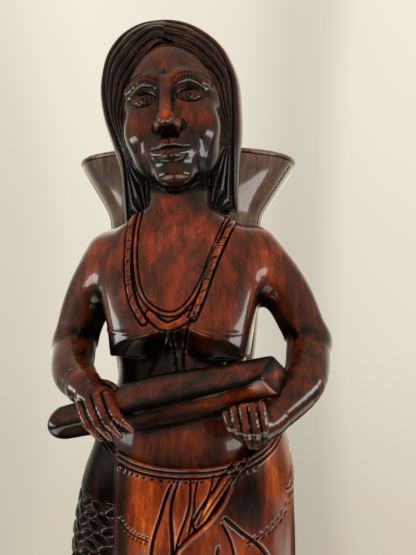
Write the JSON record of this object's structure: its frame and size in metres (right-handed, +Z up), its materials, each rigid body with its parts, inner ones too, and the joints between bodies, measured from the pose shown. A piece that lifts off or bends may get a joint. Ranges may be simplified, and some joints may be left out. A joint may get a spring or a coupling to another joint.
{
  "type": "carved wooden figure",
  "caption": "Carved and varnished hardwood figure of a standing woman in a wrapped skirt, with a flared carrying basket on her back and a log in her hands, on an oval plinth.",
  "frame": {"origin": "middle of the felt pad's lower face, under the body's middle plane, where the figure stands on a surface", "axes": "+Z up, the figure faces -Y, and +X is her left side"},
  "size_m": [0.2169, 0.2703, 0.6221],
  "materials": {
    "figure_wood": "dark stained hardwood under gloss varnish",
    "basket_wood": "dark stained hardwood under gloss varnish",
    "log_wood": "dark stained hardwood under gloss varnish",
    "plinth_wood": "dark stained hardwood under gloss varnish",
    "felt": "matt wool felt",
    "dowel_wood": "plain beech",
    "screw_steel": "zinc plated steel"
  },
  "bodies": {
    "root": {"figure": "figure_wood", "basket": "basket_wood", "carried_log": "log_wood", "plinth": "plinth_wood", "felt_pad": "felt", "basket_dowels": "dowel_wood", "log_dowel": "dowel_wood", "foot_screws": "screw_steel"}
  },
  "joints": []
}
